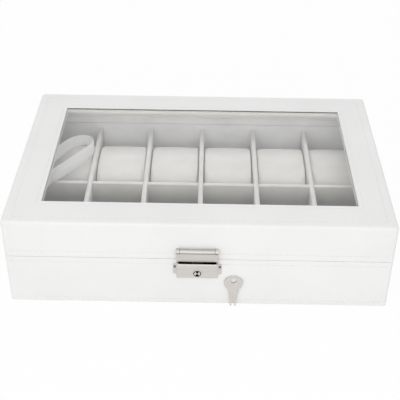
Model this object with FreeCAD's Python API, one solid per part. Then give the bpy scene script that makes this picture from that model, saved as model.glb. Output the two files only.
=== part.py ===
import FreeCAD, Part
import math
import os

V = FreeCAD.Vector

# Closed box. Origin on the floor, midway along both sides: X to the right, Y to the back, Z up.
box_width = 300.0
box_depth = 200.0
box_height = 78.0
case_height = 45.0
parting_gap = 0.3
vertical_edge_radius = 2.5
top_edge_radius = 2.0

# Wall build-up from outside to inside, and the joints between wall boards
leather = 0.8
wall_board = 6.0
liner = 1.8
rabbet_depth = 3.0

# Floor build-up from below
felt = 1.0
felt_inset = 5.0
bottom_board_thickness = 3.0
floor_liner_thickness = 1.2

# The case liner stands above the rim as a lip that locates the lid
lip_height = 6.0
lip_relief = 0.4
liner_gap = 0.5

# The lid liner is thinner above a ledge
ledge_rise = 6.0
ledge_depth = 0.7

# Window in the lid
frame_board = 5.5
side_rail = 27.0
front_rail = 28.0
back_rail = 26.0
glass_thickness = 2.0
glass_lap = 4.0
glass_edge_gap = 0.3
trim = 1.0

# Dividers, halved over each other
compartments_across = 6
divider = 4.2
divider_top = 46.0
divider_round = 1.0
halving_gap = 0.1

# Watch pillows, loose in their compartments with room for the strap at both ends of the row
pillow_side_gap = 0.7
strap_gap = 10.3
pillow_height = 38.2
pillow_floor_gap = 0.3
pillow_squareness = 2.4
pillow_end_dome = 2.4
pillow_end_share = 0.93
pillow_shoulder_share = 0.985
pillow_sides = 20

# Butt hinges at the back: knuckled leaves let into the rim and the lid
hinge_offset = 95.0
hinge_length = 28.0
hinge_leaf = 1.0
hinge_leaf_reach = 5.6
hinge_knuckles = 3
hinge_barrel_radius = 2.0
hinge_pin_radius = 0.95
screw_head_radius = 1.7
screw_shank_radius = 0.8
screw_length = 6.0
screws_per_leaf = 2

# Clearances
pin_clearance = 0.05
knuckle_gap = 0.3
moving_gap = 0.3
fit_gap = 0.05

# Lock and hasp on the front
lock_x = -1.1
lock_width = 32.2
lock_bottom = 30.3
lock_top = 43.9
lock_depth = 5.5
lock_sheet = 0.8
lock_corner_radius = 1.2
lock_front_bevel = 0.5
ear_reach = 2.9
ear_bottom = 30.8
ear_top = 41.1
ear_tack_drop = 2.9
slot_end_margin = 1.3
slot_front_margin = 0.9
slot_back_margin = 0.2

# Cylinder: the plug turns in the bezel and lifts the bolt with a pin set off its centre
plug_height = 35.3
plug_radius = 2.95
plug_nose_radius = 2.35
plug_nose_length = 1.0
plug_recess = 2.2
plug_upper_pocket_radius = 0.95
plug_lower_pocket_radius = 1.25
plug_bar = 0.5
plug_shoulder_radius = 3.6
bezel_radius = 3.8
bezel_clearance = 0.07
bezel_flange = 0.4
cam_start = 45.0
cam_offset = 1.65
cam_pin_radius = 0.5
cam_play = 0.15
bolt_width = 8.0
bolt_thickness = 0.8
bolt_tail = 2.7
guide_width = 1.5

# Hasp: the plate tacked to the lid, the flap and the pin through their knuckles
hasp_sheet = 0.8
hasp_barrel_radius = 1.75
hasp_barrel_gap = 0.1
hasp_pin_radius = 0.6
hasp_axis_rise = 9.3
hasp_gap_above_lock = 1.1
flap_knuckle = 27.2
lip_width = 20.0
flap_face_offset = 0.56
lip_sheet = 0.7
lip_swing_gap = 0.7
eye_play = 0.3
tack_shank_width = 1.0
tack_head_radius = 0.95
tack_head_height = 0.5
tack_length = 5.4

# Key, leaning on the front
key_x = 27.4
key_length = 29.2
key_thickness = 1.2
key_bow_width = 14.8
key_bow_height = 13.7
key_hole_radius = 2.3
key_hole_margin = 2.1
key_collar_width = 7.9
key_collar_height = 4.1
key_collar_overlap = 0.6
key_shank_width = 5.1
key_tip_length = 3.4
key_prong = 1.3
key_prong_gap = 2.2
key_prong_share = 0.85
key_groove = 1.3
key_groove_depth = 0.25
key_groove_run_out = 1.0
key_lean = 3.0

# Satin stay between the left walls of the case and the lid
ribbon_width = 12.0
ribbon_thickness = 0.4
ribbon_edge_margin = 0.4
ribbon_wall_gap = 0.15
ribbon_steps = 3
ribbon_reach = 43.6
ribbon_run = 51.0

# Worked out from the sizes above
half_width = box_width / 2
half_depth = box_depth / 2
board_half_width = half_width - leather
board_half_depth = half_depth - leather
well_half_width = board_half_width - wall_board
well_half_depth = board_half_depth - wall_board
inner_half_width = well_half_width - liner
inner_half_depth = well_half_depth - liner
board_corner_radius = vertical_edge_radius - leather
felt_top = felt
floor_board_top = felt + bottom_board_thickness
floor_top = floor_board_top + floor_liner_thickness
case_board_top = case_height - leather
lip_top = case_height + lip_height
lid_bottom = case_height + parting_gap
lid_board_bottom = lid_bottom + leather
frame_top = box_height - leather
frame_bottom = frame_top - frame_board
glass_bottom = frame_top - glass_thickness
window_half_width = half_width - side_rail
window_half_depth = half_depth - (front_rail + back_rail) / 2
window_shift = (front_rail - back_rail) / 2
hinge_axis_y = half_depth + moving_gap + hinge_barrel_radius
hinge_axis_z = case_height + parting_gap / 2
front = -half_depth


def block(x0, x1, y0, y1, z0, z1):
    """A plain block between two corners."""
    return Part.makeBox(x1 - x0, y1 - y0, z1 - z0, V(x0, y0, z0))


def centred_block(half_x, half_y, z0, z1):
    """A block centred on the Z axis."""
    return block(-half_x, half_x, -half_y, half_y, z0, z1)


def window_block(grow, z0, z1):
    """A block as large as the window and in its place, grown on every side."""
    shape = centred_block(window_half_width + grow, window_half_depth + grow, z0, z1)
    return shape.translated(V(0, window_shift, 0))


def fused(shapes):
    """One solid from overlapping ones."""
    whole = shapes[0].multiFuse(shapes[1:]) if len(shapes) > 1 else shapes[0]
    return whole.removeSplitter()


def cut(shape, tools):
    """A shape less every tool."""
    return shape.cut(Part.makeCompound(tools))


def skin_over(rings):
    """A faceted solid through rings of corners, with a flat face at each end."""
    faces = []
    for one, other in zip(rings, rings[1:]):
        for i in range(len(one)):
            j = (i + 1) % len(one)
            for corners in ([one[i], one[j], other[j]], [one[i], other[j], other[i]]):
                faces.append(Part.Face(Part.makePolygon(corners + corners[:1])))
    for ring in (rings[0], rings[-1]):
        faces.append(Part.Face(Part.makePolygon(ring + ring[:1])))
    solid = Part.Solid(Part.Shell(faces))
    if solid.Volume < 0:
        solid.reverse()
    return solid


def runs_along(edge, direction):
    """True for a straight edge that is parallel to a direction."""
    if not isinstance(edge.Curve, Part.Line):
        return False
    return abs(abs(edge.Curve.Direction.dot(direction)) - 1) < 1e-6


def rounded_block(half_x, half_y, z0, z1, side_radius, top_radius=0.0):
    """A centred block with rounded upright edges and, if wanted, a rounded top edge."""
    shape = centred_block(half_x, half_y, z0, z1)
    upright = [e for e in shape.Edges if runs_along(e, V(0, 0, 1))]
    shape = shape.makeFillet(side_radius, upright)
    if top_radius:
        rim = [e for e in shape.Edges if e.BoundBox.ZMin > z1 - 1e-6]
        shape = shape.makeFillet(top_radius, rim)
    return shape


def rounded_plate(x0, x1, y0, y1, z0, z1, radius):
    """A sheet lying in the XZ plane with rounded corners."""
    shape = block(x0, x1, y0, y1, z0, z1)
    corners = [e for e in shape.Edges if runs_along(e, V(0, 1, 0))]
    return shape.makeFillet(radius, corners)


def mirrored(shape):
    """The same shape on the other side of the YZ plane."""
    return shape.mirror(V(0, 0, 0), V(1, 0, 0))


def turned_over(shape, height):
    """The same shape turned over about a level line along X at a height."""
    return shape.mirror(V(0, 0, height), V(0, 0, 1))


def wall_boards(z0, z1):
    """Four boards round a well: front and back carry rabbets, left and right stand in them."""
    core = rounded_block(board_half_width, board_half_depth, z0, z1, board_corner_radius)
    side_end = well_half_depth + rabbet_depth
    long_board = block(-board_half_width, board_half_width, -board_half_depth, -well_half_depth, z0, z1)
    rabbet = block(well_half_width, half_width, -side_end, -well_half_depth, z0, z1)
    front_board = cut(long_board, [rabbet, mirrored(rabbet)]).common(core)
    back_board = front_board.mirror(V(0, 0, 0), V(0, 1, 0))
    left_board = block(-board_half_width, -well_half_width, -side_end, side_end, z0, z1)
    return {"front": front_board, "back": back_board, "left": left_board, "right": mirrored(left_board)}


def four_liners(front_liner, left_liner):
    """The liners of all four walls from those of the front and the left."""
    back_liner = front_liner.mirror(V(0, 0, 0), V(0, 1, 0))
    return {"front": front_liner, "back": back_liner, "left": left_liner, "right": mirrored(left_liner)}


def two_liners(z0, z1):
    """Velvet covered cards on the front and the left wall of a well."""
    front_liner = block(-well_half_width, well_half_width, -well_half_depth, -inner_half_depth, z0, z1)
    left_liner = block(-well_half_width, -inner_half_width, -inner_half_depth, inner_half_depth, z0, z1)
    return front_liner, left_liner


def case_liners():
    """Liners of the case, standing above its rim as a lip that is thinner outside."""
    z0 = case_height - parting_gap
    outer = centred_block(well_half_width, well_half_depth, z0, lip_top)
    inner = centred_block(well_half_width - lip_relief, well_half_depth - lip_relief, z0, lip_top)
    relief = outer.cut(inner)
    return four_liners(*[card.cut(relief) for card in two_liners(floor_top, lip_top)])


def lid_liners():
    """Liners of the lid, thinner inside above a ledge."""
    z0 = lip_top + liner_gap
    ledge = centred_block(
        inner_half_width + ledge_depth, inner_half_depth + ledge_depth, z0 + ledge_rise, frame_bottom)
    return four_liners(*[card.cut(ledge) for card in two_liners(z0, frame_bottom)])


def case_skin():
    """Leather outside the case, turned in over the rim and under the walls."""
    skin = rounded_block(half_width, half_depth, felt - leather, case_height, vertical_edge_radius)
    core = rounded_block(
        board_half_width, board_half_depth, felt_top, case_board_top, board_corner_radius)
    under = felt_inset - parting_gap
    return cut(skin, [
        core,
        centred_block(half_width - under, half_depth - under, 0, felt_top),
        centred_block(well_half_width, well_half_depth, felt_top, case_height)])


def lid_skin():
    """Leather over the lid, turned in at its rim and lapped over the glass."""
    skin = rounded_block(
        half_width, half_depth, lid_bottom, box_height, vertical_edge_radius, top_edge_radius)
    core = rounded_block(
        board_half_width, board_half_depth, lid_board_bottom, frame_top, board_corner_radius)
    return cut(skin, [
        core,
        centred_block(well_half_width, well_half_depth, lid_bottom, frame_bottom),
        window_block(0, frame_bottom, box_height)])


def lid_frame():
    """The lid's top: one board with the window cut through and a rebate for the glass."""
    board = rounded_block(
        board_half_width, board_half_depth, frame_bottom, frame_top, board_corner_radius)
    return cut(board, [
        window_block(trim, frame_bottom, frame_top), window_block(glass_lap, glass_bottom, frame_top)])


def window_lining():
    """Suede strip round the edge of the window, below the glass."""
    ring = window_block(trim, frame_bottom, glass_bottom)
    return ring.cut(window_block(0, frame_bottom, glass_bottom))


def divider_profile(length):
    """A divider along X with rounded top edges, centred on the Z axis."""
    shape = block(-length / 2, length / 2, -divider / 2, divider / 2, floor_top, divider_top)
    rim = [e for e in shape.Edges if runs_along(e, V(1, 0, 0)) and e.BoundBox.ZMin > floor_top]
    return shape.makeFillet(divider_round, rim)


def divider_places():
    """Where the cross dividers stand along X."""
    pitch = compartment_pitch()
    count = compartments_across - 1
    return [(i - (count - 1) / 2) * pitch for i in range(count)]


def compartment_pitch():
    """Distance from one cross divider to the next, with equal compartments."""
    return (2 * inner_half_width + divider) / compartments_across


def pillow_size():
    """Width along X and length along Y of a pillow, from its compartment."""
    width = compartment_pitch() - divider - 2 * pillow_side_gap
    length = inner_half_depth - divider / 2 - 2 * strap_gap
    return width, length


def dividers():
    """One long divider and the cross dividers, halved over each other at mid height."""
    middle = (floor_top + divider_top) / 2
    slot = divider / 2 + halving_gap
    along = divider_profile(2 * inner_half_width)
    slots = [block(x - slot, x + slot, -divider, divider, middle, divider_top) for x in divider_places()]
    pieces = {"long_divider": along.cut(Part.makeCompound(slots))}
    across = divider_profile(2 * inner_half_depth)
    across.rotate(V(0, 0, 0), V(0, 0, 1), 90)
    across = across.cut(block(-divider, divider, -slot, slot, floor_top, middle))
    for number, x in enumerate(divider_places(), 1):
        pieces["cross_divider_%d" % number] = across.translated(V(x, 0, 0))
    return pieces


def pillow_ring(x, share):
    """Corners of one ring of a pillow across X: a squarish oval with a flat underside."""
    flat_angle = 60.0
    flat_share = math.sin(math.radians(flat_angle)) ** (2 / pillow_squareness)
    upper = pillow_height / 2 * share
    lower = upper / flat_share
    middle = floor_top + pillow_floor_gap + pillow_height / 2
    corners = []
    for i in range(pillow_sides):
        angle = math.radians(-flat_angle + i * (180.0 + 2 * flat_angle) / (pillow_sides - 1))
        c, s = math.cos(angle), math.sin(angle)
        y = math.copysign(abs(c) ** (2 / pillow_squareness), c) * pillow_size()[1] / 2 * share
        z = math.copysign(abs(s) ** (2 / pillow_squareness), s) * (upper if s > 0 else lower)
        corners.append(V(x, y, middle + z))
    return corners


def pillow():
    """A watch pillow: crowned, fullest in the middle and drawn in towards its ends."""
    half = pillow_size()[0] / 2
    shoulder = half - pillow_end_dome
    rings = [pillow_ring(x, share) for x, share in (
        (-half, pillow_end_share), (-shoulder, pillow_shoulder_share), (0.0, 1.0),
        (shoulder, pillow_shoulder_share), (half, pillow_end_share))]
    return skin_over(rings)


def pillows():
    """One pillow in the middle of each compartment, back row first, from left to right."""
    pitch = compartment_pitch()
    row = (inner_half_depth + divider / 2) / 2
    first = -(compartments_across - 1) / 2 * pitch
    shape = pillow()
    pieces = {}
    for side, y in enumerate((row, -row)):
        for i in range(compartments_across):
            number = side * compartments_across + i + 1
            pieces["watch_pillow_%d" % number] = shape.translated(V(first + i * pitch, y, 0))
    return pieces


def upright_cylinder(radius, x, y, z0, z1):
    """A cylinder along Z."""
    return Part.makeCylinder(radius, z1 - z0, V(x, y, z0))


def rod(radius, x, z, y0, y1):
    """A cylinder along Y."""
    return Part.makeCylinder(radius, y1 - y0, V(x, y0, z), V(0, 1, 0))


def barrel(radius, x0, x1, y, z):
    """A cylinder along X."""
    return Part.makeCylinder(radius, x1 - x0, V(x0, y, z), V(1, 0, 0))


def screw(x, y, z):
    """A countersunk screw driven down from a height."""
    head = Part.makeCone(screw_shank_radius, screw_head_radius, hinge_leaf, V(x, y, z - hinge_leaf))
    shank = upright_cylinder(screw_shank_radius, x, y, z - screw_length, z - hinge_leaf)
    return head.fuse(shank).removeSplitter()


def screw_hole(x, y, z):
    """The countersunk hole of a leaf for a screw."""
    return Part.makeCone(
        screw_shank_radius + fit_gap, screw_head_radius + fit_gap, hinge_leaf, V(x, y, z - hinge_leaf))


def screw_places():
    """X offsets of the screws along one hinge leaf."""
    pitch = hinge_length / screws_per_leaf
    return [(i - (screws_per_leaf - 1) / 2) * pitch for i in range(screws_per_leaf)]


def hinge_screw_points():
    """Where the screws of both case leaves go, heads level with the rim."""
    y = (half_depth - hinge_leaf_reach + board_half_depth) / 2
    return [
        (side * hinge_offset + offset, y, case_height)
        for side in (-1, 1) for offset in screw_places()]


def hinge_leaf_shape(x, held):
    """A case leaf with its knuckles; held lists the knuckles that belong to it."""
    start = x - hinge_length / 2
    pitch = hinge_length / hinge_knuckles
    clear = hinge_barrel_radius + 2 * moving_gap
    bed = case_height - hinge_leaf
    leaf = block(
        start, start + hinge_length, half_depth - hinge_leaf_reach, hinge_axis_y - clear, bed, case_height)
    parts = [leaf]
    for i in held:
        x0 = start + i * pitch + (knuckle_gap / 2 if i else 0)
        x1 = start + (i + 1) * pitch - (knuckle_gap / 2 if i < hinge_knuckles - 1 else 0)
        parts.append(barrel(hinge_barrel_radius, x0, x1, hinge_axis_y, hinge_axis_z))
        parts.append(block(x0, x1, hinge_axis_y - clear - hinge_leaf, hinge_axis_y, bed, case_height))
    bore = barrel(
        hinge_pin_radius + pin_clearance, start, start + hinge_length, hinge_axis_y, hinge_axis_z)
    return fused(parts).cut(bore)


def hinge_parts():
    """Leaves of both hinges on the case and on the lid, pins, and the beds for the leaves."""
    outer = [i for i in range(hinge_knuckles) if i % 2 == 0]
    inner = [i for i in range(hinge_knuckles) if i % 2 == 1]
    holes = Part.makeCompound([screw_hole(*point) for point in hinge_screw_points()])
    case_leaves = [hinge_leaf_shape(side * hinge_offset, outer).cut(holes) for side in (-1, 1)]
    low_leaves = [hinge_leaf_shape(side * hinge_offset, inner).cut(holes) for side in (-1, 1)]
    lid_leaves = [turned_over(leaf, hinge_axis_z) for leaf in low_leaves]
    pins = []
    beds = []
    for side in (-1, 1):
        x0 = side * hinge_offset - hinge_length / 2
        x1 = x0 + hinge_length
        pins.append(barrel(hinge_pin_radius, x0, x1, hinge_axis_y, hinge_axis_z))
        beds.append(block(
            x0 - fit_gap, x1 + fit_gap, half_depth - hinge_leaf_reach - fit_gap, half_depth,
            case_height - hinge_leaf, case_height))
    return case_leaves, lid_leaves, pins, beds


def tack_shank(x, z, y0, y1, grow=0.0):
    """The square shank of a tack between two places along Y."""
    half = tack_shank_width / 2 + grow
    return block(x - half, x + half, y0, y1, z - half, z + half)


def tack(x, z, seat):
    """A tack driven backwards, its head on a face at y = seat."""
    head = rod(tack_head_radius, x, z, seat - tack_head_height, seat)
    return head.fuse(tack_shank(x, z, seat, seat + tack_length))


def tack_hole(x, z, seat):
    """The square hole of a metal plate for a tack."""
    return tack_shank(x, z, seat - tack_head_height, front + tack_head_height, fit_gap)


def lock_tack_places():
    """Where the lock's tacks go, one in each ear."""
    ear = (lock_width + ear_reach) / 2
    height = ear_top - ear_tack_drop
    return [(lock_x - ear, height), (lock_x + ear, height)]


def hasp_tack_places():
    """Tacks of the hasp plate, hidden behind the flap."""
    height = (hasp_plate_bottom() + hasp_axis_height() - hasp_barrel_radius) / 2
    reach = lock_width / 2 - lock_corner_radius - tack_head_radius
    return [(lock_x - reach, height), (lock_x + reach, height)]


def hasp_axis_height():
    """Height of the pin of the hasp."""
    return flap_bottom() + hasp_axis_rise


def hasp_axis_depth():
    """Place of the pin of the hasp along Y."""
    return front - hasp_sheet - hasp_barrel_radius - hasp_barrel_gap


def flap_bottom():
    """Lower edge of the flap, just above the lock."""
    return lock_top + hasp_gap_above_lock


def hasp_plate_bottom():
    """Lower edge of the plate on the lid, clear of the flap's lip and of the raised bolt."""
    return flap_bottom() + lip_sheet + lip_swing_gap


def lock_plate():
    """Plate tacked to the case, with ears beside the cover and guides for the bolt."""
    half = lock_width / 2
    y0 = front - lock_sheet
    plate = rounded_plate(
        lock_x - half, lock_x + half, y0, front, lock_bottom, lock_top, lock_corner_radius)
    ears = rounded_plate(
        lock_x - half - ear_reach, lock_x + half + ear_reach, y0, front, ear_bottom, ear_top,
        lock_corner_radius)
    parts = [plate, ears]
    for side in (-1, 1):
        edge = lock_x + side * (bolt_width / 2 + moving_gap)
        parts.append(block(
            min(edge, edge + side * guide_width), max(edge, edge + side * guide_width),
            bolt_front() - moving_gap / 2, front - lock_sheet / 2,
            plug_height - plug_radius, lock_top - lock_sheet - moving_gap))
    holes = [tack_hole(x, z, y0) for x, z in lock_tack_places()]
    return cut(fused(parts), holes)


def bolt_back():
    """Rear face of the bolt."""
    return front - lock_sheet - moving_gap


def bolt_front():
    """Front face of the bolt."""
    return bolt_back() - bolt_thickness


def cover_shell():
    """Pressed cover of the lock: open at the back, slotted on top, bored for the bezel."""
    half = lock_width / 2
    y0 = front - lock_depth
    y1 = front - lock_sheet
    outer = rounded_plate(
        lock_x - half, lock_x + half, y0, y1, lock_bottom, lock_top, lock_corner_radius)
    rim = [e for e in outer.Edges if e.BoundBox.YMax < y0 + 1e-6]
    outer = outer.makeChamfer(lock_front_bevel, rim)
    t = lock_sheet
    inner = rounded_plate(
        lock_x - half + t, lock_x + half - t, y0 + t, y1 + t, lock_bottom + t, lock_top - t,
        lock_corner_radius - t)
    slot_half = half - slot_end_margin
    slot = block(
        lock_x - slot_half, lock_x + slot_half, y0 + slot_front_margin, y1 - slot_back_margin,
        lock_top - 2 * t, lock_top + t)
    upright = [e for e in slot.Edges if runs_along(e, V(0, 0, 1))]
    slot = slot.makeFillet(slot.BoundBox.YLength / 2 - fit_gap, upright)
    hole = rod(plug_radius + bezel_clearance, lock_x, plug_height, y0 - t, y0 + 2 * t)
    return cut(outer, [inner, slot, hole])


def bezel():
    """Ring round the keyway on the face of the cover."""
    face = front - lock_depth
    ring = rod(bezel_radius, lock_x, plug_height, face - bezel_flange, face)
    bore = rod(plug_radius + bezel_clearance, lock_x, plug_height, face - lock_sheet, face + lock_sheet)
    return ring.cut(bore)


def cam_place(turn):
    """Centre of the cam pin in X and Z with the plug turned by an angle in degrees."""
    angle = math.radians(turn - cam_start)
    return lock_x + cam_offset * math.cos(angle), plug_height + cam_offset * math.sin(angle)


def plug():
    """Turning plug: a nose with a pocket above and below its bar, a shoulder and the cam pin."""
    face = front - lock_depth - bezel_flange
    back = bolt_front() - moving_gap
    inside = front - lock_depth + lock_sheet + moving_gap / 2
    nose = rod(plug_nose_radius, lock_x, plug_height, face, face + plug_nose_length)
    body = rod(plug_radius, lock_x, plug_height, face + plug_nose_length, inside)
    shoulder = rod(plug_shoulder_radius, lock_x, plug_height, inside, back)
    x, z = cam_place(0)
    pin = rod(cam_pin_radius, x, z, back, bolt_back() + moving_gap / 3)
    pockets = []
    for side, radius in ((1, plug_upper_pocket_radius), (-1, plug_lower_pocket_radius)):
        height = plug_height + side * (plug_bar / 2 + radius)
        pockets.append(rod(radius, lock_x, height, face, face + plug_recess))
    return cut(fused([nose, body, shoulder, pin]), pockets)


def bolt_travel():
    """How far a quarter turn of the plug lifts the bolt."""
    return cam_place(2 * cam_start)[1] - cam_place(0)[1]


def bolt():
    """Flat bolt: rises through the slot into the eye of the flap, driven in a level slot."""
    half = bolt_width / 2
    low = plug_height - bolt_tail
    top = lock_top - moving_gap / 2
    tongue = rounded_plate(lock_x - half, lock_x + half, bolt_front(), bolt_back(), low, top, lock_sheet)
    x, z = cam_place(0)
    reach = cam_pin_radius + cam_play
    track = block(
        x - reach, lock_x + cam_offset + reach, bolt_front(), bolt_back(), z - reach, z + reach)
    return tongue.cut(track)


def hasp_plate_shape():
    """Plate on the lid with the outer knuckles rolled forward from its top edge."""
    half = lock_width / 2
    y, z = hasp_axis_depth(), hasp_axis_height()
    back = front - hasp_sheet
    top = z + hasp_barrel_radius
    plate = block(lock_x - half, lock_x + half, back, front, hasp_plate_bottom(), top)
    low = [e for e in plate.Edges if runs_along(e, V(0, 1, 0)) and e.BoundBox.ZMax < z]
    plate = plate.makeFillet(lock_corner_radius / 2, low)
    inner = flap_knuckle / 2 + knuckle_gap
    parts = [plate]
    for x0, x1 in ((lock_x - half, lock_x - inner), (lock_x + inner, lock_x + half)):
        parts.append(barrel(hasp_barrel_radius, x0, x1, y, z))
        parts.append(block(x0, x1, y, back + hasp_sheet / 2, top - hasp_sheet, top))
    bore = barrel(hasp_pin_radius + pin_clearance, lock_x - half, lock_x + half, y, z)
    room = barrel(hasp_barrel_radius + moving_gap, lock_x - inner, lock_x + inner, y, z)
    notch = block(lock_x - inner, lock_x + inner, back, front, z, top)
    holes = [tack_hole(tx, tz, back) for tx, tz in hasp_tack_places()]
    return cut(fused(parts), [bore, room, notch] + holes)


def flap():
    """Flap of the hasp: centre knuckle, face and a level lip with an eye for the bolt."""
    half = lock_width / 2
    y, z = hasp_axis_depth(), hasp_axis_height()
    low = flap_bottom()
    face_front = y - flap_face_offset
    face_back = face_front + hasp_sheet
    face_top = z - hasp_barrel_radius - moving_gap
    knuckle = flap_knuckle / 2
    face = block(lock_x - half, lock_x + half, face_front, face_back, low, face_top)
    neck = block(lock_x - knuckle, lock_x + knuckle, face_front, face_back, face_top - lock_sheet, z)
    roll = barrel(hasp_barrel_radius, lock_x - knuckle, lock_x + knuckle, y, z)
    lip_half = lip_width / 2
    lip = block(
        lock_x - lip_half, lock_x + lip_half, face_front, front - moving_gap, low, low + lip_sheet)
    eye = block(
        lock_x - bolt_width / 2 - eye_play, lock_x + bolt_width / 2 + eye_play,
        bolt_front() - eye_play, bolt_back() + eye_play / 2, low - lip_sheet, low + 2 * lip_sheet)
    bore = barrel(hasp_pin_radius + pin_clearance, lock_x - half, lock_x + half, y, z)
    return cut(fused([face, neck, roll, lip]), [eye, bore])


def hasp_pin_shape():
    """Pin through the knuckles of the hasp."""
    half = lock_width / 2
    return barrel(hasp_pin_radius, lock_x - half, lock_x + half, hasp_axis_depth(), hasp_axis_height())


def key():
    """Stamped key: oval bow with a ring hole, collar, grooved shank and a forked tip."""
    half = key_thickness / 2
    bow_middle = key_length - key_bow_height / 2
    collar_top = key_length - key_bow_height + key_collar_overlap
    collar_bottom = collar_top - key_collar_height
    outline = Part.Ellipse(V(0, 0, 0), key_bow_width / 2, key_bow_height / 2).toShape()
    bow = Part.Face(Part.Wire(outline)).extrude(V(0, 0, key_thickness))
    bow.rotate(V(0, 0, 0), V(1, 0, 0), 90)
    bow.translate(V(0, half, bow_middle))
    hole = rod(
        key_hole_radius, 0, key_length - key_hole_margin - key_hole_radius, -key_thickness, key_thickness)
    collar_half = key_collar_width / 2
    collar = block(
        -collar_half, collar_half, -half, half, collar_bottom, collar_top + key_collar_height)
    shank = block(-key_shank_width / 2, key_shank_width / 2, -half, half, key_tip_length, collar_bottom)
    body = fused([bow.fuse(collar), shank]).cut(hole)
    prong_inner = key_prong_gap / 2
    prong_half = half * key_prong_share
    parts = [body]
    for side in (-1, 1):
        x0, x1 = sorted((side * prong_inner, side * (prong_inner + key_prong)))
        parts.append(block(x0, x1, -prong_half, prong_half, 0, key_tip_length + key_prong))
    grooves = []
    for side in (-1, 1):
        y0, y1 = sorted((side * half, side * (half - key_groove_depth)))
        grooves.append(block(
            -key_groove / 2, key_groove / 2, y0, y1, key_tip_length - key_groove_run_out, collar_bottom))
    whole = cut(fused(parts), grooves)
    whole.rotate(V(0, 0, 0), V(1, 0, 0), -key_lean)
    bounds = whole.BoundBox
    return whole.translated(V(key_x, front - moving_gap / 2 - bounds.YMax, -bounds.ZMin))


def ribbon():
    """Satin stay, shut: from the case wall in over the compartments and back to the lid wall."""
    wall = -inner_half_width + ribbon_wall_gap + ribbon_thickness / 2
    half = ribbon_width / 2
    case_end = lip_top - half - ribbon_edge_margin
    lid_end = (lip_top + liner_gap + frame_bottom) / 2
    over = divider_top + half
    climb = over - case_end
    rise = frame_bottom - moving_gap - half - over
    # Shares of the reach from the wall and of the run along it, height, and lean of the width in degrees
    route = [
        (0.0, -0.65, case_end, 0.0),
        (0.0, -0.5, case_end + 0.12 * climb, 0.0),
        (0.06, -0.34, case_end + 0.57 * climb, 2.0),
        (0.27, -0.11, over + 0.07 * rise, 8.0),
        (0.56, 0.17, over + 0.18 * rise, 22.0),
        (0.83, 0.47, over + 0.28 * rise, 24.0),
        (0.98, 0.73, over + 0.34 * rise, 6.0),
        (0.98, 0.92, over + 0.36 * rise, -6.0),
        (0.83, 0.99, over + 0.39 * rise, -8.0),
        (0.6, 0.85, over + 0.47 * rise, 4.0),
        (0.4, 0.52, over + 0.61 * rise, 20.0),
        (0.2, 0.06, over + 0.68 * rise, 20.0),
        (0.0, -0.35, lid_end, 0.0),
        (0.0, -0.49, lid_end, 0.0)]
    middles = [V(wall + out * ribbon_reach, run * ribbon_run, z) for out, run, z, _ in route]
    centre = Part.BSplineCurve()
    centre.interpolate(middles)
    knots = [centre.parameter(point) for point in middles]
    rings = []
    for i in range(ribbon_steps * (len(route) - 1) + 1):
        station, step = divmod(i, ribbon_steps)
        following = min(station + 1, len(route) - 1)
        share = step / ribbon_steps
        place = knots[station] + (knots[following] - knots[station]) * share
        lean = math.radians(route[station][3] + (route[following][3] - route[station][3]) * share)
        point = centre.value(place)
        run = centre.tangent(place)[0]
        if point.x < wall + ribbon_thickness / 2:
            # Stuck flat on the wall
            point.x = wall
            run = V(0, math.copysign(1, run.y), 0)
        up = V(0, math.sin(lean), math.cos(lean))
        across = (up - run * run.dot(up)).normalize() * half
        side = run.cross(across).normalize() * (ribbon_thickness / 2)
        rings.append([
            point - across + side, point + across + side, point + across - side, point - across - side])
    return skin_over(rings)


def build():
    """Every node of the box by name."""
    case_leaves, lid_leaves, hinge_pins, beds = hinge_parts()
    lid_beds = [turned_over(bed, hinge_axis_z) for bed in beds]
    case_boards = wall_boards(felt_top, case_board_top)
    case_boards["back"] = cut(case_boards["back"], beds)
    lid_boards = wall_boards(lid_board_bottom, frame_bottom)
    lid_boards["back"] = cut(lid_boards["back"], lid_beds)
    screws = [screw(*point) for point in hinge_screw_points()]
    lid_screws = [turned_over(one, hinge_axis_z) for one in screws]
    lock_seat = front - lock_sheet
    hasp_seat = front - hasp_sheet

    parts = {}
    for side, board in case_boards.items():
        parts["case_%s_board" % side] = board
    parts["bottom_board"] = centred_block(well_half_width, well_half_depth, felt_top, floor_board_top)
    parts["case_leather"] = cut(case_skin(), beds)
    parts["base_felt"] = centred_block(half_width - felt_inset, half_depth - felt_inset, 0, felt)
    parts["floor_liner"] = centred_block(well_half_width, well_half_depth, floor_board_top, floor_top)
    for side, card in case_liners().items():
        parts["case_liner_%s" % side] = card
    parts.update(dividers())
    parts["hinge_case_leaves"] = Part.makeCompound(case_leaves)
    parts["hinge_pins"] = Part.makeCompound(hinge_pins)
    parts["hinge_case_screws"] = Part.makeCompound(screws)
    parts["lock_back_plate"] = lock_plate()
    parts["lock_cover"] = cover_shell()
    parts["keyhole_ring"] = bezel()
    parts["lock_tacks"] = Part.makeCompound([tack(x, z, lock_seat) for x, z in lock_tack_places()])
    parts["ribbon_stay"] = ribbon()

    for side, board in lid_boards.items():
        parts["lid_%s_board" % side] = board
    parts["lid_top_frame"] = lid_frame()
    parts["lid_leather"] = cut(lid_skin(), lid_beds)
    parts["glass_pane"] = window_block(glass_lap - glass_edge_gap, glass_bottom, frame_top)
    parts["window_trim"] = window_lining()
    for side, card in lid_liners().items():
        parts["lid_liner_%s" % side] = card
    parts["hinge_lid_leaves"] = Part.makeCompound(lid_leaves)
    parts["hinge_lid_screws"] = Part.makeCompound(lid_screws)
    parts["hasp_plate"] = hasp_plate_shape()
    parts["hasp_tacks"] = Part.makeCompound([tack(x, z, hasp_seat) for x, z in hasp_tack_places()])
    parts["hasp_pin"] = hasp_pin_shape()

    parts["hasp_flap"] = flap()
    parts["lock_plug"] = plug()
    parts["lock_bolt"] = bolt()
    parts["key"] = key()
    parts.update(pillows())
    return parts


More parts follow.
